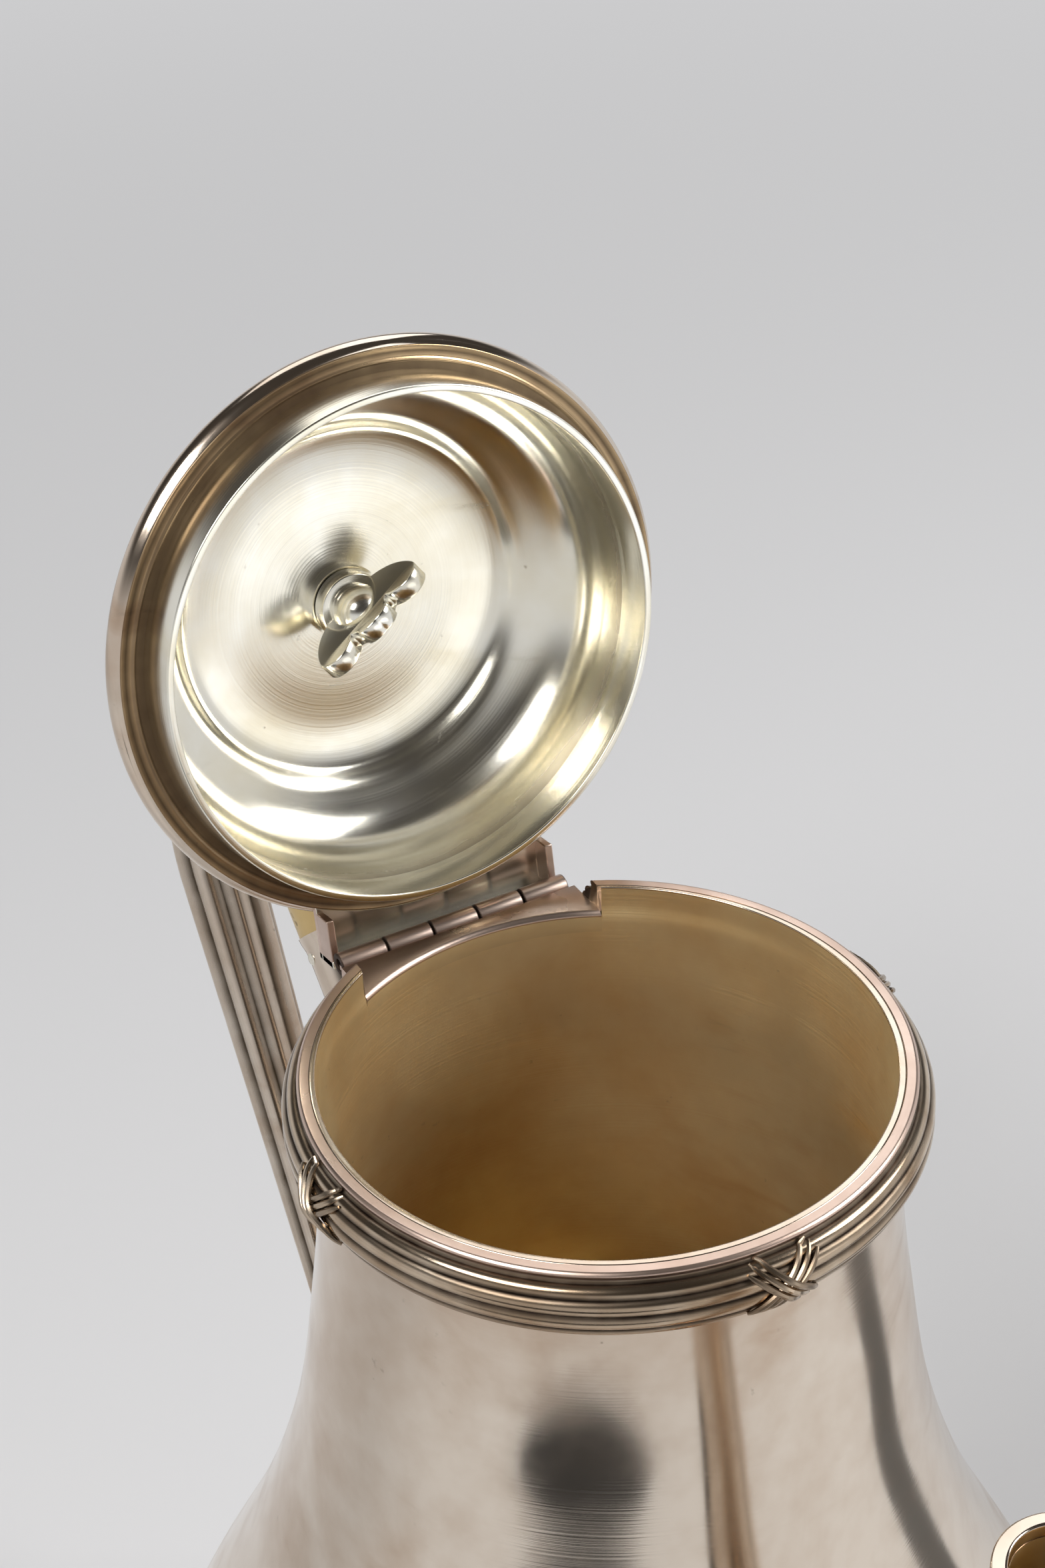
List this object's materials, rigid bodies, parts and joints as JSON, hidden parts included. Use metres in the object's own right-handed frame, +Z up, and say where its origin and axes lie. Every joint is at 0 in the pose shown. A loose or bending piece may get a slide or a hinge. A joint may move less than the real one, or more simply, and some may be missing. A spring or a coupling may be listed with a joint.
{
  "type": "silver coffee pot",
  "caption": "Pear-shaped silver coffee pot with a hinged domed lid held open, a swan-neck spout, a loop handle with insulators and reeded bands tied with crossed ribbons.",
  "frame": {"origin": "on the table, under the middle of the pot's length from handle to spout", "axes": "+Z up, +X to the spout, the hinge and the handle at -X; the body's axis is vertical at x = 13.4 mm"},
  "size_m": [0.2398, 0.141, 0.2632],
  "materials": {
    "silver": "polished, lightly tarnished",
    "reeded_silver": "polished on the reeds, dark in the seams",
    "worn_silver": "worn, tarnished brown",
    "satin_silver": "satin, stained inside",
    "bone": "polished yellowed bone"
  },
  "bodies": {
    "pot": {"body_shell": "silver", "base_plate": "satin_silver", "neck_reed_band": "reeded_silver", "neck_ribbons": "reeded_silver", "foot_ring": "reeded_silver", "foot_reed_band": "reeded_silver", "foot_ribbons": "reeded_silver", "hinge_fixed_leaf": "worn_silver", "hinge_pin": "worn_silver", "spout_tube": "silver", "spout_root_collar": "silver", "spout_lip": "silver", "handle_socket_upper": "silver", "handle_socket_lower": "silver", "insulator_upper": "bone", "insulator_lower": "bone", "handle_loop": "silver", "handle_pins": "worn_silver"},
    "lid": {"hinge_lid_leaf": "worn_silver", "lid_bezel": "silver", "lid_rim": "silver", "lid_dome": "silver", "finial_collar": "silver", "finial": "silver", "finial_stud": "worn_silver", "nut_washer": "worn_silver"},
    "fly_nut": {"nut_hub": "worn_silver", "nut_wing": "worn_silver"}
  },
  "joints": [
    {"name": "lid_hinge", "type": "hinge", "parent": "pot", "child": "lid", "pos_m": [-0.02736, 0, 0.18515], "axis": [0, 1, 0], "range_deg": [0, 99.33]},
    {"name": "nut_turn", "type": "hinge", "parent": "lid", "child": "fly_nut", "pos_m": [-0.04862, 0, 0.22296], "axis": [-0.9868, 0, -0.1621], "continuous": true}
  ]
}
